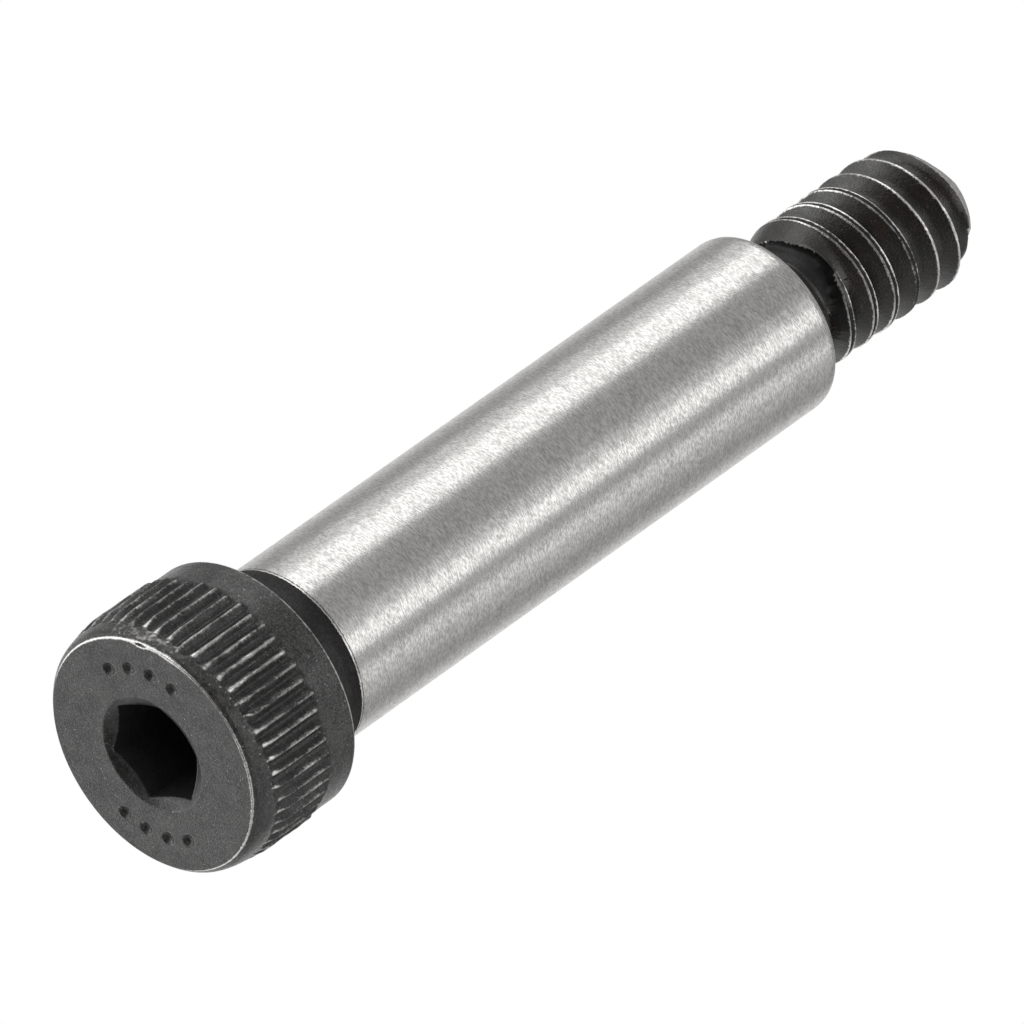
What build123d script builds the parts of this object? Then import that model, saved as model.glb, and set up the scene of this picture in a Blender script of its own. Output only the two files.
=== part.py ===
from build123d import *
import math
import os

# A socket-head shoulder bolt, turned and rolled from one bar, so it is one solid.
# It stands on its head: the socket face is at height 0 and the axis points up to the thread.
# Angles are counted about the axis from +X. All sizes are in millimetres and degrees.

# Head
HEAD_HEIGHT = 5.56
BAND_DIAMETER = 10.80
BAND_LENGTH = 1.54
BAND_EDGE = 0.12
FACE_DIAMETER = 10.14
CORNER_LENGTH = 0.62
CORNER_BREAK = 0.12
CORNER_BREAK_HEIGHT = 0.20

# Knurl rolled into the side of the head
KNURL_DIAMETER = 11.06
KNURL_DEPTH = 0.30
KNURL_RIDGES = 53
KNURL_CREST_WIDTH = 0.10
KNURL_RUN_OUT = 0.22
KNURL_FIRST_RIDGE = -93.2

# Hexagon socket
SOCKET_ACROSS_FLATS = 3.97
SOCKET_DEPTH = 3.20
SOCKET_FIRST_CORNER = -4.0
SOCKET_POINT_ANGLE = 118.0
COUNTERSINK_DIAMETER = 5.08
COUNTERSINK_SLOPE = 30.0

# Relief groove between the head and the ground shoulder
RELIEF_DIAMETER = 7.24
RELIEF_LENGTH = 2.03
RELIEF_CORNER = 0.35

# Ground shoulder, measured from the head's underside
SHOULDER_DIAMETER = 7.874
SHOULDER_LENGTH = 30.16
SHOULDER_EDGE = 0.08

# Right-hand coarse thread, measured from the shoulder's end
THREAD_DIAMETER = 6.28
THREAD_DEPTH = 0.72
THREAD_PITCH = 1.27
THREAD_FLANK_ANGLE = 30.0
THREAD_CREST_WIDTH = 0.18
THREAD_LENGTH = 9.88
THREAD_FIRST_CREST = 2.01
THREAD_FIRST_CREST_ANGLE = -90.0
THREAD_TIP_SLOPE = 45.0
NECK_LENGTH = 1.20
NECK_CORNER = 0.30
NECK_TAPER_LENGTH = 1.50

# Overlap that the ridges of the knurl and the thread have with the body that carries them
ROOT_OVERLAP = 0.12

band_radius = BAND_DIAMETER / 2
face_radius = FACE_DIAMETER / 2
knurl_radius = KNURL_DIAMETER / 2
knurl_root_radius = knurl_radius - KNURL_DEPTH
knurl_end = HEAD_HEIGHT - BAND_LENGTH
relief_radius = RELIEF_DIAMETER / 2
shoulder_radius = SHOULDER_DIAMETER / 2
shoulder_start = HEAD_HEIGHT + RELIEF_LENGTH
shoulder_end = HEAD_HEIGHT + SHOULDER_LENGTH
thread_radius = THREAD_DIAMETER / 2
root_radius = thread_radius - THREAD_DEPTH
tip = shoulder_end + THREAD_LENGTH


def turned(points):
    """The solid of revolution of straight runs between (radius, height) points."""
    outline = Polyline(*[(radius, 0, height) for radius, height in points], close=True)
    return revolve(make_face(outline), Axis.Z)


def body():
    """The turned body: head, relief groove, shoulder and the core that carries the thread."""
    core_radius = knurl_root_radius - ROOT_OVERLAP
    relief_bevel = shoulder_radius - relief_radius
    return turned([
        (0, 0),
        (face_radius, 0),
        (band_radius - CORNER_BREAK, CORNER_BREAK_HEIGHT),
        (band_radius, CORNER_LENGTH),
        (core_radius, CORNER_LENGTH),
        (core_radius, knurl_end),
        (band_radius, knurl_end),
        (band_radius, HEAD_HEIGHT - BAND_EDGE),
        (band_radius - BAND_EDGE, HEAD_HEIGHT),
        (relief_radius + RELIEF_CORNER, HEAD_HEIGHT),
        (relief_radius, HEAD_HEIGHT + RELIEF_CORNER),
        (relief_radius, shoulder_start - relief_bevel),
        (shoulder_radius, shoulder_start),
        (shoulder_radius, shoulder_end - SHOULDER_EDGE),
        (shoulder_radius - SHOULDER_EDGE, shoulder_end),
        (root_radius + NECK_CORNER, shoulder_end),
        (root_radius, shoulder_end + NECK_CORNER),
        (root_radius, tip),
        (0, tip),
    ])


def knurl():
    """Straight ridges round the head, cut off by a slope at each end."""
    step = 360 / KNURL_RIDGES
    half_crest = math.degrees(KNURL_CREST_WIDTH / 2 / knurl_radius)
    outline = []
    for ridge in range(KNURL_RIDGES):
        centre = KNURL_FIRST_RIDGE + ridge * step
        outline.append(polar(knurl_radius, centre - half_crest))
        outline.append(polar(knurl_radius, centre + half_crest))
        outline.append(polar(knurl_root_radius, centre + step / 2))
    ridges = extrude(make_face(Polyline(*outline, close=True)), amount=knurl_end - CORNER_LENGTH)
    ridges = Pos(0, 0, CORNER_LENGTH) * ridges

    # The slopes start on the plain band's radius and run on past the crests.
    rise = knurl_radius - band_radius
    limit = turned([
        (0, CORNER_LENGTH),
        (band_radius, CORNER_LENGTH),
        (band_radius + 2 * rise, CORNER_LENGTH + 2 * KNURL_RUN_OUT),
        (band_radius + 2 * rise, knurl_end - 2 * KNURL_RUN_OUT),
        (band_radius, knurl_end),
        (0, knurl_end),
    ])
    return ridges & limit


def polar(radius, angle):
    """The point at a radius and an angle, in the plane of the socket face."""
    return (radius * math.cos(math.radians(angle)), radius * math.sin(math.radians(angle)))


def socket():
    """The hexagon, its drilled point and the countersink at its mouth, as one cutter."""
    corner_radius = SOCKET_ACROSS_FLATS / 2 / math.cos(math.radians(30))
    corners = [polar(corner_radius, SOCKET_FIRST_CORNER + 60 * side) for side in range(6)]
    hexagon = extrude(make_face(Polyline(*corners, close=True)), amount=SOCKET_DEPTH)

    drill_radius = SOCKET_ACROSS_FLATS / 2
    point_height = drill_radius / math.tan(math.radians(SOCKET_POINT_ANGLE / 2))
    point = turned([
        (0, SOCKET_DEPTH / 2),
        (drill_radius, SOCKET_DEPTH / 2),
        (drill_radius, SOCKET_DEPTH),
        (0, SOCKET_DEPTH + point_height),
    ])

    mouth_radius = COUNTERSINK_DIAMETER / 2
    mouth_height = mouth_radius * math.tan(math.radians(COUNTERSINK_SLOPE))
    mouth = turned([(0, 0), (mouth_radius, 0), (0, mouth_height)])
    return hexagon + point + mouth


def thread():
    """One right-hand helical ridge, tapered where it starts and bevelled at the tip."""
    slope = math.tan(math.radians(THREAD_FLANK_ANGLE))
    inner_radius = root_radius - ROOT_OVERLAP
    half_crest = THREAD_CREST_WIDTH / 2
    half_base = half_crest + (thread_radius - inner_radius) * slope

    # The helix starts at angle 0, below the neck, and runs past the tip.
    crest_height = shoulder_end + THREAD_FIRST_CREST - THREAD_PITCH * THREAD_FIRST_CREST_ANGLE / 360
    start = crest_height - 2 * THREAD_PITCH
    turns = math.ceil((tip + THREAD_PITCH - start) / THREAD_PITCH)
    path = Helix(
        pitch=THREAD_PITCH,
        height=turns * THREAD_PITCH,
        radius=thread_radius,
        center=(0, 0, start),
    )
    section = make_face(Polyline(
        (inner_radius, 0, start - half_base),
        (thread_radius, 0, start - half_crest),
        (thread_radius, 0, start + half_crest),
        (inner_radius, 0, start + half_base),
        close=True,
    ))
    ridge = sweep(section, path=path, is_frenet=True)

    # The taper and the bevel start on the root's radius and run on past the crest.
    bevel_height = THREAD_DEPTH / math.tan(math.radians(90 - THREAD_TIP_SLOPE))
    taper_start = shoulder_end + NECK_LENGTH
    limit = turned([
        (0, taper_start),
        (root_radius, taper_start),
        (root_radius + 2 * THREAD_DEPTH, taper_start + 2 * NECK_TAPER_LENGTH),
        (root_radius + 2 * THREAD_DEPTH, tip - 2 * bevel_height),
        (root_radius, tip),
        (0, tip),
    ])
    return ridge & limit


def shoulder_bolt():
    """The whole bolt: the turned body with its knurl and thread, less the socket."""
    return body() + knurl() + thread() - socket()


os.makedirs("parts", exist_ok=True)
bolt = shoulder_bolt()
export_step(bolt, "parts/shoulder_bolt.step")
print("volume", round(bolt.volume, 1), "solids", len(bolt.solids()), "height", round(tip, 2))
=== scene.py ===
import math

import bmesh
import bpy
import numpy as np
from mathutils import Matrix, Vector


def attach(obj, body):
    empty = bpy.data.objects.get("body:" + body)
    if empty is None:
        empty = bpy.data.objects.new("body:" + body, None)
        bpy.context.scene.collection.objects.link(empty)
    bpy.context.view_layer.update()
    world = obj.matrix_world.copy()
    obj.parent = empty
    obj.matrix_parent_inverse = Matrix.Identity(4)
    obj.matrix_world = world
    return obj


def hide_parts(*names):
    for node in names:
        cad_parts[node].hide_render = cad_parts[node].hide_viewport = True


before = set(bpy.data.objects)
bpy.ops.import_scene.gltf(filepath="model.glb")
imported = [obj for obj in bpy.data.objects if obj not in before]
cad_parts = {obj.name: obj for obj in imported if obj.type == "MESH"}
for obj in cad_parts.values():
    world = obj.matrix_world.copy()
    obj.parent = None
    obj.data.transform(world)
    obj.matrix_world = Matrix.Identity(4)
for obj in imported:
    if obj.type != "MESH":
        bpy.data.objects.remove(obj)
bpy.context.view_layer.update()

# The hexagon socket, pressed by a punch into the head after a hole was drilled for it. Its flats
# meet the cone at the mouth in scalloped edges, and the drill's point is its bottom.
# All heights are in millimetres from the socket face, and angles are about the axis from +X.
MM = 0.001
COLUMNS = 318
COLUMN_STEP = 360 / COLUMNS
FIRST_COLUMN_ANGLE = -93.2
SOCKET_ACROSS_FLATS = 3.97
SOCKET_DEPTH = 3.20
SOCKET_POINT_DEPTH = 4.39
SOCKET_FIRST_CORNER = -4.0
SOCKET_CORNER_COLUMN = 79
MOUTH_RADIUS = 2.50
MOUTH_SLOPE = math.tan(math.radians(30))
FACE_LEVEL = -0.15
FACE_LEAN = -0.035
OXIDE_SOCKET_SHADED = "oxide_socket_shaded"
OXIDE_GROOVE_SHADED = "oxide_groove_shaded"

column = np.arange(COLUMNS)
column_angle = FIRST_COLUMN_ANGLE + COLUMN_STEP * column
rings = []


def add_ring(radius, height, finish, angle=column_angle, wear_and_painted_light=0.0):
    """One ring of points round the axis, with the finish of the faces between it and the next ring.

    The last value gives at each point, from 0 to 1, how far the finish is gone to metal; it also places
    painted highlights and painted shadow lines."""
    rings.append((
        np.broadcast_to(radius, COLUMNS).astype(float),
        np.broadcast_to(height, COLUMNS).astype(float),
        np.broadcast_to(angle, COLUMNS).astype(float),
        np.broadcast_to(wear_and_painted_light, COLUMNS).astype(float),
        np.broadcast_to(finish, COLUMNS),
    ))


def smooth_step(low, high, value):
    """0 below low, 1 above high, and a smooth rise between them."""
    share = np.clip((value - low) / (high - low), 0, 1)
    return share * share * (3 - 2 * share)


def face_lift(radius, angle):
    """The height of the face, which was faced off a little past the nominal and not quite square."""
    return FACE_LEVEL + FACE_LEAN * radius * np.sin(np.radians(angle))


# A column of points falls on each corner of the hexagon.
hexagon_angle = column_angle + SOCKET_FIRST_CORNER - column_angle[SOCKET_CORNER_COLUMN]
from_flat = (hexagon_angle - SOCKET_FIRST_CORNER) % 60 - 30
hexagon_radius = SOCKET_ACROSS_FLATS / 2 / np.cos(np.radians(from_flat))
hexagon_mouth = (MOUTH_RADIUS - hexagon_radius) * MOUTH_SLOPE
drill_radius = SOCKET_ACROSS_FLATS / 2 - 0.02

# The socket's oxide is a darker copy of the head's: painted shade down the hole.
for share in (0.15, 0.5, 1.0):
    point_height = SOCKET_POINT_DEPTH + (SOCKET_DEPTH - SOCKET_POINT_DEPTH) * share
    add_ring(drill_radius * share, point_height, OXIDE_SOCKET_SHADED, hexagon_angle)
add_ring(hexagon_radius - 0.05, SOCKET_DEPTH, OXIDE_SOCKET_SHADED, hexagon_angle)
add_ring(hexagon_radius, SOCKET_DEPTH - 0.05, OXIDE_SOCKET_SHADED, hexagon_angle)
for height in (2.6, 1.9, 1.2, 0.8):
    add_ring(hexagon_radius, height, OXIDE_SOCKET_SHADED, hexagon_angle)
hexagon_mouth = hexagon_mouth + face_lift(hexagon_radius, hexagon_angle)
flat_rub = 0.30 + 0.35 * (np.abs((hexagon_angle + 34 + 180) % 360 - 180) < 26)
add_ring(hexagon_radius, hexagon_mouth + 0.07, OXIDE_SOCKET_SHADED, hexagon_angle)
add_ring(hexagon_radius + 0.004, hexagon_mouth + 0.020, OXIDE_SOCKET_SHADED, hexagon_angle, flat_rub)
# The mouth's cone takes the groove's darker copy of the oxide: painted shade in the countersink.
add_ring(hexagon_radius + 0.022, hexagon_mouth - 0.010, OXIDE_GROOVE_SHADED, hexagon_angle, flat_rub)
for share in (0.35, 0.8):
    cone_radius = hexagon_radius + (MOUTH_RADIUS - hexagon_radius) * share
    cone_height = (MOUTH_RADIUS - cone_radius) * MOUTH_SLOPE + face_lift(cone_radius, hexagon_angle)
    add_ring(cone_radius, cone_height, OXIDE_GROOVE_SHADED, hexagon_angle)

# The flat face round the socket, turned and then blackened with the rest of the head. Two rows
# of small round punch marks are struck into it, and its rim has one small dent. The rim's bright
# band is partly rubbed metal and partly painted highlight, and it is widest where the light falls.
MARK_CIRCLE_RADIUS = 3.75
MARK_RADIUS = 0.27
MARK_DEPTH = 0.15
MARK_ANGLES = (-166, -149, -132, -115, 20, 37, 54, 71)
RIM_RADIUS = 5.05
RIM_PROFILE = (
    (4.91, 0.0), (4.93, 0.0), (4.95, 0.0), (4.97, 0.0), (4.985, 0.0), (5.00, 0.0), (5.015, 0.0),
    (5.03, 0.002), (5.045, 0.006), (5.06, 0.014), (5.075, 0.028), (5.09, 0.046), (5.11, 0.068), (5.14, 0.095),
)
# How wide the rim's bright band is round the head: rubbed metal, widened into a painted highlight round -137°
# to -112° where the light falls.
RIM_BRIGHT_ANGLES = (
    -180, -165, -150, -137, -124, -112, -104, -90, -80, -70, -50, -30, -10, 10, 25, 38, 150, 165, 180,
)
RIM_BRIGHT_WIDTHS = (
    .08, .08, .09, .13, .15, .11, .065, .058, .068, .090, .095, .08, .06, .045, .02, 0, 0, .05, .08,
)
DENT_ANGLE = -137.5
DENT_RADIUS = 5.005
OXIDE_HEAD = "oxide_head"

face_random = np.random.default_rng(11)
near_angle = (column_angle + 180) % 360 - 180
rim_bright_width = np.interp(near_angle, RIM_BRIGHT_ANGLES, RIM_BRIGHT_WIDTHS)
rim_bright_width = rim_bright_width * face_random.uniform(0.72, 1.15, COLUMNS)


def mark_depth(radius, angle):
    """How deep the punch marks are at a radius and an angle of the face."""
    depth = np.zeros(COLUMNS)
    for mark_angle in MARK_ANGLES:
        turn = np.radians((angle - mark_angle + 180) % 360 - 180)
        away = np.hypot(radius * np.cos(turn) - MARK_CIRCLE_RADIUS, radius * np.sin(turn))
        dish = np.clip(1 - (away / MARK_RADIUS) ** 2, 0, 1) ** 0.6
        lip = np.exp(-((away - MARK_RADIUS * 1.12) / 0.05) ** 2)
        depth = np.maximum(depth, MARK_DEPTH * dish) - 0.010 * lip
    return depth


def rim_wear_and_highlight(radius, height):
    """How far each column of the rim is painted bright, partly as metal through the oxide and partly as
    painted highlight, and how deep the dent is there.
    """
    away = np.hypot(radius - RIM_RADIUS, height - 0.01)
    wear_and_painted_light = np.clip(1.25 - away / (rim_bright_width + 0.001), 0, 1)
    along = np.radians(near_angle - DENT_ANGLE) * radius
    from_dent = np.hypot(along / 0.28, (radius - DENT_RADIUS) / 0.060)
    wear_and_painted_light = np.where(from_dent < 1.75, 1.0, wear_and_painted_light)
    wear_and_painted_light = np.where(from_dent < 1.0, 0.0, wear_and_painted_light)
    return wear_and_painted_light, 0.05 * np.clip(1 - from_dent, 0, 1)


add_ring(MOUTH_RADIUS, 0.008 + face_lift(MOUTH_RADIUS, column_angle), OXIDE_HEAD, column_angle, 0.42)
face_radii = [2.515, 2.54, 2.80, 3.10, 3.34]
face_radii += list(np.arange(3.42, 4.10, 0.045))
face_radii += [4.18, 4.5, 4.8]
for radius in face_radii:
    add_ring(radius, mark_depth(radius, column_angle) + face_lift(radius, column_angle), OXIDE_HEAD)
for radius, height in RIM_PROFILE:
    wear_and_painted_light, dent = rim_wear_and_highlight(radius, height)
    add_ring(radius, height + dent + face_lift(radius, column_angle), OXIDE_HEAD, column_angle, wear_and_painted_light)

# The side of the head, with straight ridges that a knurling wheel pressed up out of the bar
# before the head was blackened. Each ridge ends a little differently, and its crest has rubbed
# bright in places, most of all at its front end. Round the head the crests are also painted
# brighter as painted highlight, most round -112° to -66° where the light falls.
RIDGES = 53
RIDGE_COLUMNS = 6
RIDGE_STEP = 360 / RIDGES
RIDGE_PLACES = np.array((-0.035, 0.035, 0.26, 0.43, 0.57, 0.74))
RIDGE_DEPTHS = np.array((0.0, 0.0, 0.17, 0.28, 0.28, 0.17))
CREST_RADIUS = 5.53
BAND_RADIUS = 5.40
CORNER_HEIGHTS = (0.095, 0.135, 0.20, 0.32, 0.46, 0.62, 0.76)
CORNER_RADII = (5.14, 5.19, 5.25, 5.315, 5.36, 5.39, BAND_RADIUS)
FRONT_ANGLES = (-180, -150, -120, -90, -60, -22, 10, 60, 180)
FRONT_ENDS = (0.62, 0.52, 0.46, 0.62, 0.80, 1.02, 0.85, 0.70, 0.62)
CREST_BRIGHT_ANGLES = (-180, -150, -128, -112, -95, -80, -66, -45, -30, -10, 20, 180)
CREST_BRIGHT_SHARES = (0.42, 0.44, 0.50, 0.58, 0.58, 0.46, 0.56, 0.50, 0.46, 0.43, 0.41, 0.41)
KNURL_REAR = 4.02
HEAD_HEIGHT = 5.56

knurl_random = np.random.default_rng(21)
ridge_number = column // RIDGE_COLUMNS
ridge_place = column % RIDGE_COLUMNS
knurl_angle = FIRST_COLUMN_ANGLE + (ridge_number + RIDGE_PLACES[ridge_place]) * RIDGE_STEP
ridge_angle = (FIRST_COLUMN_ANGLE + ridge_number * RIDGE_STEP + 180) % 360 - 180
front_end = np.interp(ridge_angle, FRONT_ANGLES, FRONT_ENDS)
front_end = front_end + knurl_random.uniform(-0.07, 0.07, RIDGES)[ridge_number]
rear_end = KNURL_REAR + knurl_random.uniform(-0.09, 0.09, RIDGES)[ridge_number]
crest_height = knurl_random.uniform(-0.014, 0.004, RIDGES)[ridge_number]
crest_wave = knurl_random.uniform(0, 2 * math.pi, RIDGES)[ridge_number]
end_lean = knurl_random.normal(0, 0.55, RIDGES)[ridge_number]
# Crest brightness by ridge angle: rubbed metal together with painted highlight on the lit side.
crest_bright = np.interp(ridge_angle, CREST_BRIGHT_ANGLES, CREST_BRIGHT_SHARES)
crest_bright = crest_bright + knurl_random.normal(0, 0.05, RIDGES)[ridge_number]
front_rub = knurl_random.uniform(0.1, 0.9, RIDGES)[ridge_number]
groove_rub = knurl_random.uniform(-0.5, 1.0, COLUMNS)
on_crest = ridge_place < 2
in_groove = (ridge_place == 3) | (ridge_place == 4)


def knurl_ring(height):
    """The radius, angle, and rubbing with painted highlight, of each column at one height of the knurl."""
    ridge_share = smooth_step(front_end - 0.08, front_end + 0.12, height)
    crest_share = smooth_step(front_end - 0.10, front_end + 0.75, height)
    raised_share = np.where(on_crest, crest_share, ridge_share)
    rear_share = 1 - smooth_step(rear_end - 0.16, rear_end + 0.10, height)
    wave = 0.006 * np.sin(height * 5.1 + crest_wave) + 0.004 * np.sin(height * 13 + 2 * crest_wave)
    profile = CREST_RADIUS + crest_height + wave - RIDGE_DEPTHS[ridge_place]
    grain = knurl_random.normal(0, 0.004, COLUMNS) * (0.4 + np.exp(-((height - 0.8) / 0.3) ** 2))
    base = np.interp(height, CORNER_HEIGHTS, CORNER_RADII)
    radius = base + (profile - base) * raised_share * rear_share + grain
    angle = knurl_angle + end_lean * np.exp(-((height - front_end) / 0.22) ** 2)
    past_front = height - front_end
    drift = 0.10 * np.sin(height * 2.3 + 3 * crest_wave) + 0.07 * np.sin(height * 6.1 + crest_wave)
    end_rub = front_rub * 0.6 * np.exp(-((past_front - 0.14) / 0.13) ** 2)
    wear_and_painted_light = on_crest * ridge_share * rear_share * (crest_bright + drift + end_rub)
    streak = np.clip(groove_rub, 0, 1) * np.exp(-((past_front + 0.04) / 0.10) ** 2)
    wear_and_painted_light = np.maximum(wear_and_painted_light, (in_groove | on_crest) * 0.85 * streak)
    # Near the front, round -142°, every column is brightened a little more.
    front_patch = 0.42 * np.exp(-((ridge_angle + 142) / 30) ** 2) * (1 - smooth_step(0.45, 0.85, height))
    wear_and_painted_light = np.maximum(wear_and_painted_light, front_patch * knurl_random.uniform(0.5, 1.3, COLUMNS))
    return np.minimum(radius, CREST_RADIUS + 0.01), angle, np.clip(wear_and_painted_light, 0, 1)


knurl_heights = list(np.arange(0.14, 0.44, 0.06)) + list(np.arange(0.46, 1.24, 0.048))
knurl_heights += [1.30, 1.42, 1.6, 1.85, 2.1, 2.4, 2.7, 3.0, 3.3, 3.5, 3.66]
knurl_heights += [3.76, 3.84, 3.91, 3.97, 4.03, 4.10, 4.18]
for height in knurl_heights:
    radius, angle, wear_and_painted_light = knurl_ring(height)
    lift_share = 1 - smooth_step(0.08, 0.60, height)
    lifted = height + lift_share * face_lift(RIM_RADIUS, column_angle)
    # Between the crests the knurl takes a darker copy of the oxide: painted shade on its flanks and in its
    # valleys.
    between_ridges = (ridge_place > 0) & (height > front_end) & (height < rear_end)
    add_ring(radius, lifted, np.where(between_ridges, OXIDE_GROOVE_SHADED, OXIDE_HEAD), angle, wear_and_painted_light)
# The rear edge carries a bright line, brighter round -76°.
rear_edge_bright = 0.60 + 0.17 * np.exp(-((near_angle + 76) / 16) ** 2) + knurl_random.normal(0, 0.13, COLUMNS)
for height in (4.32, 4.8, 5.3, 5.40):
    add_ring(BAND_RADIUS, height, OXIDE_HEAD)
rear_edge = ((BAND_RADIUS, 5.43, 0.5), (5.390, 5.465, 1.0), (5.372, 5.505, 1.0), (5.345, 5.538, 0.6))
for radius, height, share in rear_edge:
    add_ring(radius, height, OXIDE_HEAD, column_angle, share * rear_edge_bright)
for radius, height in ((5.320, 5.553), (5.24, HEAD_HEIGHT), (4.6, HEAD_HEIGHT)):
    add_ring(radius, height, OXIDE_HEAD)

# The groove under the head and the ground shoulder, the bearing surface of the bolt. It is
# ground after blackening, so it is bare bright steel, while the groove keeps its black.
RELIEF_RADIUS = 3.62
SHOULDER_RADIUS = 3.937
SHOULDER_START = 7.59
SHOULDER_END = 35.72
GROUND_STEEL = "ground_steel"

# The groove under the head takes the socket's darker copy of the oxide: painted shade under the head.
for radius, height in ((4.02, 5.56), (3.90, 5.575), (3.76, 5.64), (3.66, 5.76), (RELIEF_RADIUS, 5.92)):
    add_ring(radius, height, OXIDE_SOCKET_SHADED)
for radius, height in ((RELIEF_RADIUS, 6.6), (RELIEF_RADIUS, 7.20), (3.65, 7.28), (3.90, 7.53)):
    add_ring(radius, height, OXIDE_SOCKET_SHADED)
ragged = np.random.default_rng(3).normal(0, 0.008, COLUMNS)
add_ring(3.928, SHOULDER_START - 0.03 + ragged, GROUND_STEEL)
# The dark line just past the shoulder's start is painted shadow beside the groove under the head.
for height, dark_line in ((-0.01, 0), (0.03, 0.35), (0.06, 0.70), (0.09, 0.35), (0.13, 0)):
    add_ring(SHOULDER_RADIUS, SHOULDER_START + height + ragged, GROUND_STEEL, column_angle, dark_line)
for height in (8.2, 12, 16, 20, 24, 28, 32, 35.2):
    add_ring(SHOULDER_RADIUS, height, GROUND_STEEL)
# Near the shoulder's end the same dark colour paints a fainter line.
shoulder_edge = ((SHOULDER_RADIUS, 35.42, 0), (3.934, 35.46, 0.45), (3.930, 35.50, 0), (3.914, 35.59, 0))
for radius, height, dark_line in shoulder_edge:
    add_ring(radius, height + 0.5 * ragged, GROUND_STEEL, column_angle, dark_line)
add_ring(3.896, 35.66, GROUND_STEEL)
add_ring(3.865, 35.705, GROUND_STEEL)

# The rolled thread and its neck. The dies ran a little off the axis and squeezed the metal up
# between them, so the first turns have a seam along the crest, which closes towards the tip. The
# first turn grows out of a plain step with a rough edge, and the last leaves a lip on the tip.
OXIDE_THREAD = "oxide_thread"
OXIDE_NECK_SHADED = "oxide_neck_shaded"
WORN_TIP = "worn_tip"
PITCH = 1.27
THREAD_RADIUS = 3.14
ROOT_RADIUS = 2.42
OFF_AXIS = 0.06
FLANK_SLOPE = 1.36
FIRST_CREST = 37.731
FIRST_CREST_ANGLE = -90
TIP = 45.42
THREAD_BOTTOM = 36.2
NECK_END = 36.97
# The step's edge: its angle along the helix, its distance from the crest's helix, and its radius
STEP_ANGLES = (-300, -180, -163, -144, -128, -111, -93, -82, -72, -62, -54, -45, -29, 0)
STEP_OFFSETS = (-.12, -.12, .13, .20, .29, .42, .33, .15, .02, -.12, -.20, -.25, -.25, -.12)
STEP_RADII = (2.42, 2.70, 2.70, 2.71, 2.73, 2.78, 2.86, 2.93, 3.0, 3.05, 3.08, 3.11, 3.14, 3.14)
# The rows of one turn, from groove to groove, with the two edges of the crest among them
TURN_START = -0.56
TURN_END = 0.635
CREST_EDGE = 0.125
TURN_PLACES = (
    TURN_START, -0.42, -0.30, -0.20, -0.145,
    -CREST_EDGE, -0.09, -0.045, 0, 0.045, 0.09, CREST_EDGE,
    0.18, 0.29, 0.42, 0.56, TURN_END,
)
THREAD_TURNS = 10
RAMP_END = PITCH - 0.12
TIP_ANGLES = (-180, -130, -118, -105, -92, -80, -62, -48, -44, 0, 90, 180)
TIP_RADII = (2.63, 2.63, 2.64, 2.70, 2.77, 2.76, 2.70, 2.62, 2.50, 2.50, 2.56, 2.63)
LIP_SHARES = (0, 0, 0.15, 0.6, 1, 0.97, 0.62, 0.42, 0, 0, 0, 0)

for radius, height in ((3.80, 35.715), (3.72, SHOULDER_END), (3.2, SHOULDER_END), (2.80, 35.73)):
    add_ring(radius, height, OXIDE_THREAD)
# The neck takes the darkest copy of the oxide: painted shade under the shoulder.
for radius, height in ((2.62, 35.78), (2.50, 35.88), (2.43, 36.02)):
    add_ring(radius, height, OXIDE_NECK_SHADED)

thread_random = np.random.default_rng(5)
tip_radius = np.interp(near_angle, TIP_ANGLES, TIP_RADII)
tip_lip = np.interp(near_angle, TIP_ANGLES, LIP_SHARES)
tip_slope = 0.72 - 0.28 * tip_lip
off_axis = OFF_AXIS * (1 + np.cos(np.radians(column_angle)))


def smooth_noise(size):
    """Noise along the columns that changes over about so many of them, from -1 to 1."""
    knots = thread_random.uniform(-1, 1, COLUMNS // size + 2)
    return np.interp(column / size, np.arange(len(knots)), knots)


def plain_step(helix_angle, offset):
    """The radius of the plain step before the thread is rolled into it to its full depth."""
    edge = np.interp(helix_angle, STEP_ANGLES, STEP_OFFSETS)
    edge_radius = np.interp(helix_angle, STEP_ANGLES, STEP_RADII)
    ramp = edge_radius + (THREAD_RADIUS - edge_radius) * (offset - edge) / (RAMP_END - edge)
    unrolled = smooth_step(-330, -200, helix_angle) * (1 - smooth_step(-150, -50, helix_angle))
    within = (offset > edge - 0.001) & (offset < RAMP_END)
    return ROOT_RADIUS + (ramp - ROOT_RADIUS) * unrolled * within


def crest_edges(helix_angle):
    """How open the crest's seam is, and the distance from the helix to each of its edges."""
    turns = (helix_angle - FIRST_CREST_ANGLE) / 360
    seam_open = 1 - smooth_step(2.5, 4.0, turns)
    half_crest = 0.055 + 0.065 * seam_open
    step_edge = np.interp(helix_angle, STEP_ANGLES, STEP_OFFSETS)
    grown = helix_angle > 0
    edge = np.where(grown, -half_crest, step_edge)
    far_edge = np.where(grown, half_crest, step_edge + 0.33 * (TURN_END - step_edge))
    return seam_open, edge, far_edge


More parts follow.
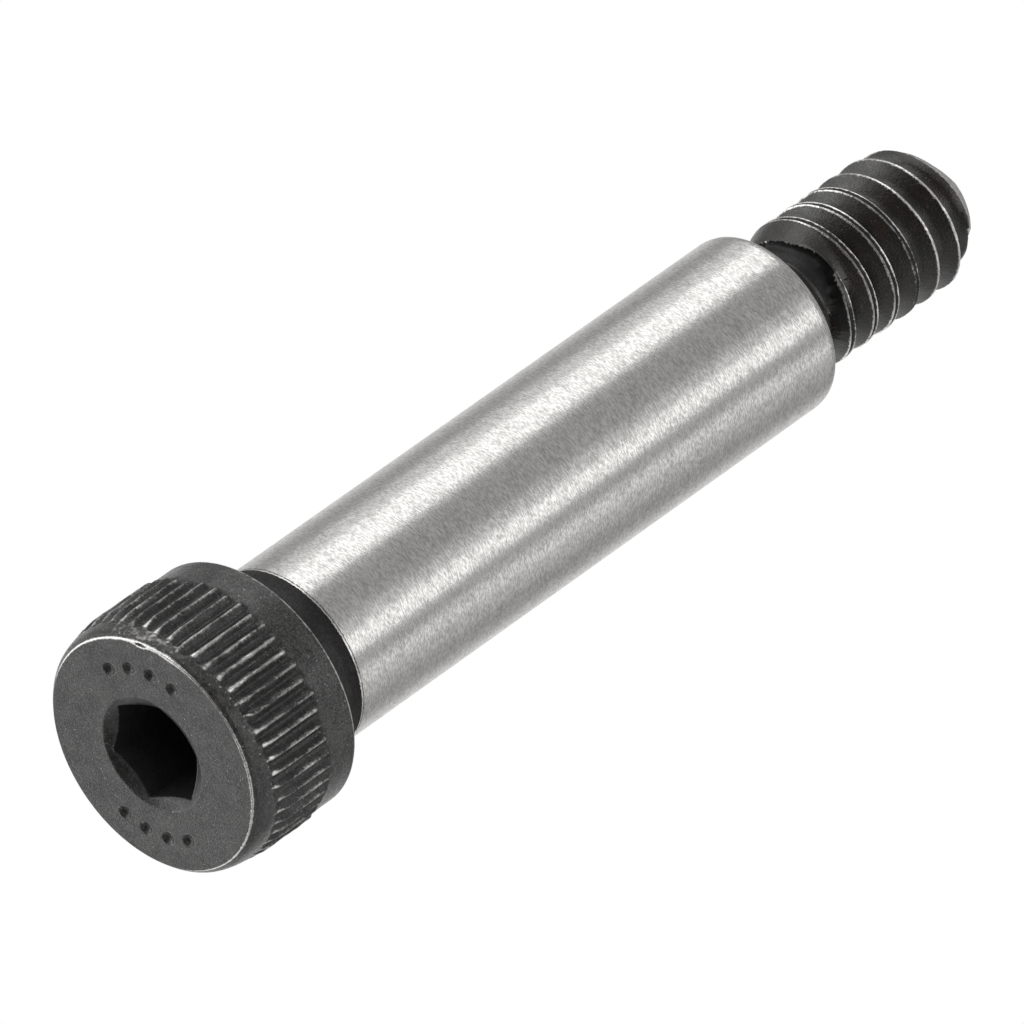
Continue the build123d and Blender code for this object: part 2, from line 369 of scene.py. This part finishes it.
def thread_row(turn_number, place):
    """The height, radius, wear and finish of each column in one row of the thread."""
    helix_angle = column_angle + 360 * (turn_number - 2)
    seam_open, edge, far_edge = crest_edges(helix_angle)
    if place < -CREST_EDGE:
        share = (place - TURN_START) / (-CREST_EDGE - TURN_START)
        offset = TURN_START + share * (edge - TURN_START)
    elif place <= CREST_EDGE:
        offset = (edge + far_edge) / 2 + place / CREST_EDGE * (far_edge - edge) / 2
    else:
        share = (place - CREST_EDGE) / (TURN_END - CREST_EDGE)
        offset = far_edge + share * (TURN_END - far_edge)
    height = FIRST_CREST + PITCH * (helix_angle - FIRST_CREST_ANGLE) / 360 + offset

    # Rows that would pass the tip all end on it, at one point for each column.
    past_tip = height > TIP
    height = np.clip(height, THREAD_BOTTOM, TIP)
    tip_turns = (TIP - FIRST_CREST) / PITCH - (column_angle - FIRST_CREST_ANGLE) / 360
    helix_angle = np.where(past_tip, column_angle + 360 * np.round(tip_turns), helix_angle)
    offset = np.where(past_tip, (tip_turns - np.round(tip_turns)) * PITCH, offset)
    seam_open, edge, far_edge = crest_edges(helix_angle)

    crest_radius = np.interp(helix_angle, STEP_ANGLES, STEP_RADII)
    near_slope = np.interp(helix_angle, (-100, -60), (6.0, FLANK_SLOPE))
    seam = 0.07 * seam_open * max(0.0, 1 - abs(place) / CREST_EDGE)
    seam = seam * smooth_step(-110, -60, helix_angle) * ~past_tip
    near_flank = near_slope * np.clip(edge - offset, 0, None)
    far_flank = FLANK_SLOPE * np.clip(offset - far_edge, 0, None)
    profile = crest_radius - seam - near_flank - far_flank
    profile = np.where(helix_angle < STEP_ANGLES[0], ROOT_RADIUS, profile)
    profile = np.maximum(profile, plain_step(helix_angle, offset))
    profile = np.maximum(profile, plain_step(helix_angle - 360, offset + PITCH))
    off_share = smooth_step(THREAD_BOTTOM, THREAD_BOTTOM + 1, height)
    profile = np.maximum(profile, ROOT_RADIUS) - off_axis * off_share
    bevel = tip_radius + tip_slope * (TIP - height)
    on_bevel = bevel < profile - 0.004
    roughness = thread_random.normal(0, 0.003, COLUMNS) * (profile > ROOT_RADIUS + 0.1) * (height < TIP)
    radius = np.minimum(profile, bevel) + roughness

    bright = 0.82 + 0.22 * smooth_noise(11) + 0.10 * smooth_noise(3)
    from_lip = np.minimum(np.abs(offset - edge), np.abs(offset - far_edge))
    lip_share = np.interp(helix_angle, (-112, -85, -60, 0), (0, 0.72, 0.85, 1))
    lip = bright * np.clip(1.2 - from_lip / 0.078, 0, 1) * lip_share
    ridge_line = 0.74 + 0.12 * smooth_noise(9) + 0.06 * smooth_noise(2)
    ridge_line = ridge_line * np.clip(1.2 - np.abs(offset) / 0.12, 0, 1)
    wear_and_painted_light = np.maximum(seam_open * lip, (1 - seam_open) * ridge_line)
    if place == -CREST_EDGE:
        dots = 0.56 + 0.16 * smooth_noise(3) + 0.10 * smooth_noise(1)
        wear_and_painted_light = np.maximum(wear_and_painted_light, dots * smooth_step(-200, -175, helix_angle) * (helix_angle < -113))
    bevel_edge = np.exp(-((profile - bevel) / 0.05) ** 2)
    wear_and_painted_light = np.where(on_bevel, 0.50 + 0.06 * smooth_noise(7) + 0.30 * bevel_edge, wear_and_painted_light)
    # Below the step the neck's darker copy goes on, and the open seam's floor takes it too: painted shade in
    # the neck and in the crease.
    in_neck = (height < NECK_END) | ((helix_angle < -40) & (offset < edge - 0.001))
    finish = np.where(in_neck, OXIDE_NECK_SHADED, OXIDE_THREAD)
    if -0.09 <= place < 0.09:
        finish = np.where((seam_open > 0.4) & (helix_angle > -60), OXIDE_NECK_SHADED, finish)
    finish = np.where(on_bevel, WORN_TIP, finish)
    return height, radius, np.clip(wear_and_painted_light, 0, 1), finish


turn_rows = len(TURN_PLACES)
row_count = turn_rows * THREAD_TURNS
thread_rows = [thread_row(row // turn_rows, TURN_PLACES[row % turn_rows]) for row in range(row_count)]

# One closed mesh takes in every ring from the bottom of the socket to the tip. In the thread
# the rows follow the helix, so past the last column each row meets the one a turn above it.
points = [(0, 0, SOCKET_POINT_DEPTH)]
point_wear_and_painted_light = [0.0]
faces = []
finishes = []


def ring_points(radius, height, angle, wear_and_painted_light):
    """Adds a ring's points to the mesh and gives back the number of the first."""
    start = len(points)
    turn = np.radians(angle)
    points.extend(zip(radius * np.cos(turn), radius * np.sin(turn), height))
    point_wear_and_painted_light.extend(wear_and_painted_light)
    return start


def join_rows(lower, upper, column_finishes):
    """Faces between two rows, with the finish of each column."""
    for here in range(COLUMNS):
        there = (here + 1) % COLUMNS
        faces.append((lower + here, lower + there, upper + there, upper + here))
        finishes.append(column_finishes[here])


starts = [ring_points(radius, height, angle, wear_and_painted_light) for radius, height, angle, wear_and_painted_light, finish in rings]
for here in range(COLUMNS):
    faces.append((0, starts[0] + (here + 1) % COLUMNS, starts[0] + here))
    finishes.append(OXIDE_SOCKET_SHADED)
for number in range(len(rings) - 1):
    join_rows(starts[number], starts[number + 1], rings[number][4])

thread_starts = []
for height, radius, wear_and_painted_light, finish in thread_rows:
    thread_starts.append(ring_points(radius, height, column_angle, wear_and_painted_light))
join_rows(starts[-1], thread_starts[0], [OXIDE_NECK_SHADED] * COLUMNS)
last_row = row_count - 1
for row in range(last_row):
    lower = thread_starts[row]
    upper = thread_starts[row + 1]
    row_finishes = thread_rows[row][3]
    for here in range(COLUMNS - 1):
        faces.append((lower + here, lower + here + 1, upper + here + 1, upper + here))
        finishes.append(row_finishes[here])
    over_lower = thread_starts[min(row + turn_rows, last_row)]
    over_upper = thread_starts[min(row + 1 + turn_rows, last_row)]
    faces.append((lower + COLUMNS - 1, over_lower, over_upper, upper + COLUMNS - 1))
    finishes.append(row_finishes[-1])

# The tip's lip and its flat end
tip_starts = [thread_starts[-1]]
for radius, height, wear_and_painted_light in (
    (tip_radius - 0.003 - 0.035 * tip_lip, TIP + 0.003 + 0.08 * tip_lip, 0.50),
    (tip_radius - 0.006 - 0.07 * tip_lip, TIP + 0.006 + 0.16 * tip_lip, 0.50),
    (tip_radius - 0.05 - 0.10 * tip_lip, TIP + 0.02 + 0.14 * tip_lip, 0.45),
    (np.full(COLUMNS, 2.36), np.full(COLUMNS, TIP + 0.02), 0.2),
    (np.full(COLUMNS, 1.2), np.full(COLUMNS, TIP + 0.02), 0.0),
):
    tip_starts.append(ring_points(radius, height, column_angle, np.full(COLUMNS, wear_and_painted_light)))
for number, finish in enumerate((WORN_TIP, WORN_TIP, WORN_TIP, OXIDE_THREAD, OXIDE_THREAD)):
    join_rows(tip_starts[number], tip_starts[number + 1], [finish] * COLUMNS)
tip_point = len(points)
points.append((0, 0, TIP + 0.02))
point_wear_and_painted_light.append(0.0)
for here in range(COLUMNS):
    faces.append((tip_starts[-1] + here, tip_starts[-1] + (here + 1) % COLUMNS, tip_point))
    finishes.append(OXIDE_THREAD)


def add_node(tree, kind, inputs=None, **settings):
    """Adds a node, sets its properties, and sets or links its inputs."""
    made = tree.nodes.new(kind)
    for name, value in settings.items():
        setattr(made, name, value)
    for name, value in (inputs or {}).items():
        if isinstance(value, bpy.types.NodeSocket):
            tree.links.new(value, made.inputs[name])
        else:
            made.inputs[name].default_value = value
    return made


def calculate(tree, operation, first, second=0.0, clamp=False):
    """The result socket of one sum."""
    made = add_node(tree, "ShaderNodeMath", {0: first, 1: second}, operation=operation, use_clamp=clamp)
    return made.outputs[0]


def start_group(name, inputs, outputs):
    """A shader node group with float sockets, and its input and output nodes."""
    group = bpy.data.node_groups.new(name, "ShaderNodeTree")
    for socket_name, default in inputs.items():
        socket = group.interface.new_socket(socket_name, in_out="INPUT", socket_type="NodeSocketFloat")
        socket.default_value = default
    for socket_name in outputs:
        group.interface.new_socket(socket_name, in_out="OUTPUT", socket_type="NodeSocketFloat")
    return group, group.nodes.new("NodeGroupInput"), group.nodes.new("NodeGroupOutput")


def use_group(tree, group, **inputs):
    """Places a group in a tree. Its inputs are given with _ for a space."""
    made = tree.nodes.new("ShaderNodeGroup")
    made.node_tree = group
    for name, value in inputs.items():
        made.inputs[name.replace("_", " ")].default_value = value
    return made


# Fine noise that is stretched round the axis, as cutting and grinding leave it.
grain_group, grain_in, grain_out = start_group(
    "grain", {"Around": 0.3, "Along": 0.05, "Low": 0.3, "High": 0.7}, ["Value"])
place_node = add_node(grain_group, "ShaderNodeTexCoord")
per_around = calculate(grain_group, "DIVIDE", 1 / MM, grain_in.outputs["Around"])
per_along = calculate(grain_group, "DIVIDE", 1 / MM, grain_in.outputs["Along"])
stretch = add_node(grain_group, "ShaderNodeCombineXYZ", {0: per_around, 1: per_around, 2: per_along})
stretched = add_node(grain_group, "ShaderNodeVectorMath",
                     {0: place_node.outputs["Object"], 1: stretch.outputs[0]}, operation="MULTIPLY")
noise = add_node(grain_group, "ShaderNodeTexNoise",
                 {"Vector": stretched.outputs[0], "Scale": 1.0, "Detail": 2.0, "Roughness": 0.6})
spread = add_node(grain_group, "ShaderNodeMapRange",
                  {"Value": noise.outputs[0], "From Min": grain_in.outputs["Low"],
                   "From Max": grain_in.outputs["High"]})
grain_group.links.new(spread.outputs[0], grain_out.inputs["Value"])

# Where a finish is rubbed off, and where painted highlights and painted shadow lines go: the marks that the
# mesh carries, broken up by fine noise.
wear_and_light_group, wear_in, wear_out = start_group(
    "wear_and_light_mask", {"Breakup": 0.5, "Size": 0.1, "Low": 0.45, "High": 0.75}, ["Mask"])
carried = add_node(wear_and_light_group, "ShaderNodeAttribute", attribute_name="wear_and_painted_light")
place_node = add_node(wear_and_light_group, "ShaderNodeTexCoord")
noise = add_node(wear_and_light_group, "ShaderNodeTexNoise",
                 {"Vector": place_node.outputs["Object"],
                  "Scale": calculate(wear_and_light_group, "DIVIDE", 1 / MM, wear_in.outputs["Size"]),
                  "Detail": 3.0, "Roughness": 0.6})
uneven = calculate(wear_and_light_group, "MULTIPLY",
                   calculate(wear_and_light_group, "SUBTRACT", noise.outputs[0], 0.5), wear_in.outputs["Breakup"])
edge = add_node(wear_and_light_group, "ShaderNodeMapRange",
                {"Value": calculate(wear_and_light_group, "ADD", carried.outputs["Fac"], uneven),
                 "From Min": wear_in.outputs["Low"], "From Max": wear_in.outputs["High"]})
wear_and_light_group.links.new(edge.outputs[0], wear_out.inputs["Mask"])


WORN_SIZE = 0.13
SHARP_WEAR = (0.45, 0.75)
SOFT_WEAR = (0.34, 0.95)
BARE_COLOUR = (0.84, 0.83, 0.81, 1)


def black_oxide(name, dark, light, roughness, gloss, mottle_share, breakup, speck_amount, wear_range):
    """Black oxide on steel: mottled, finely speckled, and gone to metal on its edges, where the mesh's
    marks also place painted highlights.

    wear_range runs from where the metal starts to show to where it shows fully, from 0 to 1."""
    wear_low, wear_high = wear_range
    material = bpy.data.materials.new(name)
    material.use_nodes = True
    tree = material.node_tree
    shader = tree.nodes["Principled BSDF"]
    shader.inputs["IOR"].default_value = gloss
    mottle = use_group(tree, grain_group, Around=0.75, Along=0.55, Low=0.38, High=0.62)
    fine = use_group(tree, grain_group, Around=0.085, Along=0.085, Low=0.40, High=0.62)
    specks = use_group(tree, grain_group, Around=0.075, Along=0.075, Low=0.665, High=0.72)
    shade = calculate(tree, "ADD",
                      calculate(tree, "MULTIPLY", mottle.outputs[0], mottle_share),
                      calculate(tree, "MULTIPLY", fine.outputs[0], 1 - mottle_share))
    oxide = add_node(tree, "ShaderNodeMix",
                     {"Factor": shade, "A": (*dark, 1), "B": (*light, 1)}, data_type="RGBA")
    wear_and_light_mask = use_group(tree, wear_and_light_group, Breakup=breakup, Size=WORN_SIZE, Low=wear_low, High=wear_high)
    bare_specks = calculate(tree, "MULTIPLY", specks.outputs[0], speck_amount)
    bare_and_highlight = calculate(tree, "MAXIMUM", bare_specks, wear_and_light_mask.outputs[0])
    colour = add_node(tree, "ShaderNodeMix",
                      {"Factor": bare_and_highlight, "A": oxide.outputs["Result"], "B": BARE_COLOUR}, data_type="RGBA")
    tree.links.new(colour.outputs["Result"], shader.inputs["Base Color"])
    tree.links.new(bare_and_highlight, shader.inputs["Metallic"])
    rough = add_node(tree, "ShaderNodeMapRange",
                     {"Value": shade, "To Min": roughness + 0.08, "To Max": roughness - 0.08})
    tree.links.new(rough.outputs[0], shader.inputs["Roughness"])
    bump = add_node(tree, "ShaderNodeBump",
                    {"Height": fine.outputs[0], "Strength": 0.5, "Distance": 0.008 * MM})
    tree.links.new(bump.outputs[0], shader.inputs["Normal"])
    return material


# The socket, groove and neck finishes are darker copies of the head's oxide: painted shade in the hollows
# they cover.
finish_materials = {
    OXIDE_SOCKET_SHADED: black_oxide(
        OXIDE_SOCKET_SHADED, (0.005, 0.005, 0.005), (0.022, 0.0215, 0.021),
        0.52, 1.45, 0.4, 1.2, 0.0, SHARP_WEAR),
    OXIDE_HEAD: black_oxide(
        OXIDE_HEAD, (0.004, 0.0038, 0.0036), (0.078, 0.0745, 0.0725),
        0.30, 1.53, 0.30, 0.8, 0.45, SOFT_WEAR),
    OXIDE_GROOVE_SHADED: black_oxide(
        OXIDE_GROOVE_SHADED, (0.004, 0.0038, 0.0036), (0.050, 0.048, 0.047),
        0.36, 1.5, 0.40, 0.8, 0.35, SOFT_WEAR),
    OXIDE_THREAD: black_oxide(
        OXIDE_THREAD, (0.001, 0.0008, 0.0007), (0.030, 0.023, 0.019),
        0.29, 1.66, 0.60, 0.8, 0.15, SHARP_WEAR),
    OXIDE_NECK_SHADED: black_oxide(
        OXIDE_NECK_SHADED, (0.001, 0.001, 0.001), (0.010, 0.0095, 0.009),
        0.46, 1.42, 0.5, 0.9, 0.0, SHARP_WEAR),
    WORN_TIP: black_oxide(
        WORN_TIP, (0.12, 0.117, 0.112), (0.42, 0.41, 0.395),
        0.42, 1.6, 0.45, 0.55, 0.3, SHARP_WEAR),
}

# Bare ground steel with the fine scratches of the wheel round it
STEEL_DARK = (0.43, 0.42, 0.405, 1)
STEEL_LIGHT = (0.80, 0.79, 0.77, 1)
# Near-black for the dark lines: painted shadow at the shoulder's start, and a fainter line near its end.
DARK_LINE_COLOUR = (0.02, 0.019, 0.018, 1)

material = bpy.data.materials.new(GROUND_STEEL)
material.use_nodes = True
tree = material.node_tree
shader = tree.nodes["Principled BSDF"]
scratches = use_group(tree, grain_group, Around=0.20, Along=0.060, Low=0.37, High=0.63)
cloud = use_group(tree, grain_group, Around=0.9, Along=0.35, Low=0.35, High=0.65)
tone = calculate(tree, "ADD",
                 calculate(tree, "MULTIPLY", scratches.outputs[0], 0.8),
                 calculate(tree, "MULTIPLY", cloud.outputs[0], 0.2))
steel = add_node(tree, "ShaderNodeMix", {"Factor": tone, "A": STEEL_DARK, "B": STEEL_LIGHT}, data_type="RGBA")
# The dark lines, painted shadow at the shoulder's start, are mixed over the steel and are not metal.
dark_lines = use_group(tree, wear_and_light_group, Breakup=0.9, Size=WORN_SIZE, Low=0.3, High=0.6)
steel_with_dark_lines = add_node(tree, "ShaderNodeMix",
                     {"Factor": dark_lines.outputs[0], "A": steel.outputs["Result"], "B": DARK_LINE_COLOUR},
                     data_type="RGBA")
tree.links.new(steel_with_dark_lines.outputs["Result"], shader.inputs["Base Color"])
tree.links.new(calculate(tree, "SUBTRACT", 1.0, dark_lines.outputs[0]), shader.inputs["Metallic"])
rough = add_node(tree, "ShaderNodeMapRange", {"Value": tone, "To Min": 0.30, "To Max": 0.20})
tree.links.new(rough.outputs[0], shader.inputs["Roughness"])
bump = add_node(tree, "ShaderNodeBump",
                {"Height": scratches.outputs[0], "Strength": 0.4, "Distance": 0.004 * MM})
tree.links.new(bump.outputs[0], shader.inputs["Normal"])
finish_materials[GROUND_STEEL] = material

# Points that fall on one another are joined, and edges sharper than the angle stay sharp.
JOIN_DISTANCE = 0.002
SHORTEST_EDGE = 0.001
SHARP_ANGLE = 48

finish_names = list(finish_materials)
mesh = bpy.data.meshes.new("bolt")
mesh.from_pydata([tuple(value * MM for value in point) for point in points], [], faces)
for name in finish_names:
    mesh.materials.append(finish_materials[name])
mesh.polygons.foreach_set("material_index", [finish_names.index(name) for name in finishes])
mesh.attributes.new("wear_and_painted_light", "FLOAT", "POINT").data.foreach_set("value", point_wear_and_painted_light)
shaping = bmesh.new()
shaping.from_mesh(mesh)
bmesh.ops.remove_doubles(shaping, verts=shaping.verts, dist=JOIN_DISTANCE * MM)
bmesh.ops.dissolve_degenerate(shaping, edges=shaping.edges, dist=SHORTEST_EDGE * MM)
shaping.to_mesh(mesh)
mesh.validate()
open_edges = sum(1 for edge in shaping.edges if not edge.is_manifold)
shaping.free()
mesh.shade_smooth()
mesh.set_sharp_from_angle(angle=math.radians(SHARP_ANGLE))
bolt = bpy.data.objects.new("bolt", mesh)
bpy.context.scene.collection.objects.link(bolt)
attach(bolt, "root")
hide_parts("shoulder_bolt")
print("bolt: faces", len(mesh.polygons), "open edges", open_edges)

# A pale floor, just under the head. The camera looks up at the bolt from below it, so the
# floor shows only from above, and it keeps the bolt's shadow there.
FLOOR_SIZE = 6.0
FLOOR_LEVEL = -0.36
floor_mesh = bpy.data.meshes.new("floor")
half = FLOOR_SIZE / 2
corners = [(-half, -half, 0), (half, -half, 0), (half, half, 0), (-half, half, 0)]
floor_mesh.from_pydata(corners, [], [(0, 1, 2, 3)])
floor = bpy.data.objects.new("floor", floor_mesh)
floor.location.z = FLOOR_LEVEL * MM
bpy.context.scene.collection.objects.link(floor)
floor.visible_shadow = False
floor.visible_diffuse = False
floor.visible_glossy = False
material = bpy.data.materials.new("floor_paint")
material.use_nodes = True
tree = material.node_tree
shader = tree.nodes["Principled BSDF"]
shader.inputs["Base Color"].default_value = (0.86, 0.86, 0.86, 1)
shader.inputs["Roughness"].default_value = 0.9
shader.inputs["Specular IOR Level"].default_value = 0.1
side = add_node(tree, "ShaderNodeNewGeometry")
clear = add_node(tree, "ShaderNodeBsdfTransparent")
camera_ray = add_node(tree, "ShaderNodeLightPath")
distance = add_node(tree, "ShaderNodeVectorMath", {0: side.outputs["Position"]}, operation="LENGTH")
whitening = add_node(tree, "ShaderNodeMapRange",
                     {"Value": distance.outputs["Value"], "From Min": 0.05, "From Max": 0.9,
                      "To Min": 0.36, "To Max": 0.75}, interpolation_type="SMOOTHSTEP")
seen_white = calculate(tree, "MULTIPLY", whitening.outputs[0], camera_ray.outputs["Is Camera Ray"])
white_paint = add_node(tree, "ShaderNodeEmission", {"Strength": seen_white})
lit = add_node(tree, "ShaderNodeAddShader", {0: shader.outputs[0], 1: white_paint.outputs[0]})
both = add_node(tree, "ShaderNodeMixShader",
                {0: side.outputs["Backfacing"], 1: lit.outputs[0], 2: clear.outputs[0]})
tree.links.new(both.outputs[0], tree.nodes["Material Output"].inputs["Surface"])
floor_mesh.materials.append(material)

# The studio: a white sweep behind the bolt, a darker room in front and a dark ground below, and
# tall soft lamps round the bolt that its ground shoulder shows as long streaks.
FRONT_LEVEL = 0.40
GROUND_LEVEL = 0.08
SWEEP_DIRECTION = (0.03, 0.9995, 0.0)
world = bpy.data.worlds.new("studio")
bpy.context.scene.world = world
world.use_nodes = True
tree = world.node_tree
tree.nodes.clear()
direction = add_node(tree, "ShaderNodeTexCoord")
towards_sweep = add_node(tree, "ShaderNodeVectorMath",
                         {0: direction.outputs["Generated"], 1: SWEEP_DIRECTION}, operation="DOT_PRODUCT")
sweep = add_node(tree, "ShaderNodeMapRange",
                 {"Value": towards_sweep.outputs["Value"], "From Min": 0.42, "From Max": 0.95,
                  "To Min": FRONT_LEVEL, "To Max": 1.0}, interpolation_type="SMOOTHSTEP")
direction_parts = add_node(tree, "ShaderNodeSeparateXYZ", {0: direction.outputs["Generated"]})
ground = add_node(tree, "ShaderNodeMapRange",
                  {"Value": direction_parts.outputs[2], "From Min": -0.88, "From Max": -0.60,
                   "To Min": GROUND_LEVEL, "To Max": 1.0}, interpolation_type="SMOOTHSTEP")
room_level = calculate(tree, "MULTIPLY", sweep.outputs[0], ground.outputs[0])
room = add_node(tree, "ShaderNodeBackground", {"Color": (1, 1, 1, 1), "Strength": room_level})
backdrop = add_node(tree, "ShaderNodeBackground", {"Color": (1, 1, 1, 1), "Strength": 1.0})
ray = add_node(tree, "ShaderNodeLightPath")
on_sweep = calculate(tree, "GREATER_THAN", towards_sweep.outputs["Value"], 0.92)
glossy_on_sweep = calculate(tree, "MULTIPLY", ray.outputs["Is Glossy Ray"], on_sweep)
seen_straight = calculate(tree, "ADD", ray.outputs["Is Camera Ray"], ray.outputs["Is Transmission Ray"])
shows_backdrop = calculate(tree, "ADD", seen_straight, glossy_on_sweep, clamp=True)
seen = add_node(tree, "ShaderNodeMixShader",
                {0: shows_backdrop, 1: room.outputs[0], 2: backdrop.outputs[0]})
world_output = add_node(tree, "ShaderNodeOutputWorld", {"Surface": seen.outputs[0]})

LAMP_DISTANCE = 0.6
LAMPS = (
    # name, azimuth and elevation in degrees, width and height in metres, radiance
    ("lamp_left", -156.5, 0, 0.378, 1.3, 1.20),
    ("lamp_left_wing", 175, 0, 0.30, 1.3, 0.42),
    ("lamp_front", -61, 0, 0.222, 1.3, 1.12),
    ("lamp_front_wing", -80, 0, 0.15, 1.3, 0.32),
    ("lamp_right", -20, 0, 0.21, 1.3, 0.55),
    ("lamp_right_wing", 1, 0, 0.18, 1.3, 0.20),
    ("lamp_low", 118, -39, 0.75, 0.34, 0.62),
    ("lamp_low_left", 148, -42, 0.34, 0.36, 1.6),
)
for name, azimuth, elevation, width, height, radiance in LAMPS:
    data = bpy.data.lights.new(name, "AREA")
    data.shape = "RECTANGLE"
    data.size = width
    data.size_y = height
    data.energy = radiance * math.pi * width * height
    lamp = bpy.data.objects.new(name, data)
    turn = math.radians(azimuth)
    lean = math.radians(elevation)
    towards = Vector((math.cos(turn) * math.cos(lean), math.sin(turn) * math.cos(lean), math.sin(lean)))
    lamp.location = towards * LAMP_DISTANCE + Vector((0, 0, 0.02))
    lamp.rotation_mode = "QUATERNION"
    lamp.rotation_quaternion = towards.to_track_quat("Z", "Y")
    lamp.visible_camera = False
    bpy.context.scene.collection.objects.link(lamp)

# The camera, far away and with a long lens, looks up at the head from in front and below. Its
# place and its turn were fitted to the edges of the bolt.
camera_data = bpy.data.cameras.new("camera")
camera_data.lens = 696.1
camera_data.sensor_width = 36
camera_data.clip_start = 0.05
camera_data.clip_end = 20
camera = bpy.data.objects.new("camera", camera_data)
bpy.context.scene.collection.objects.link(camera)
camera_place = Vector((0.0, -0.623896, -0.434913))
look = Vector((0.000490, 0.807725, 0.589559))
picture_right = Vector((0.577482, -0.481547, 0.659262))
picture_up = picture_right.cross(look)
camera.matrix_world = Matrix((
    (picture_right.x, picture_up.x, -look.x, camera_place.x),
    (picture_right.y, picture_up.y, -look.y, camera_place.y),
    (picture_right.z, picture_up.z, -look.z, camera_place.z),
    (0, 0, 0, 1),
))
bpy.context.scene.camera = camera
bpy.context.scene.view_settings.view_transform = "Standard"
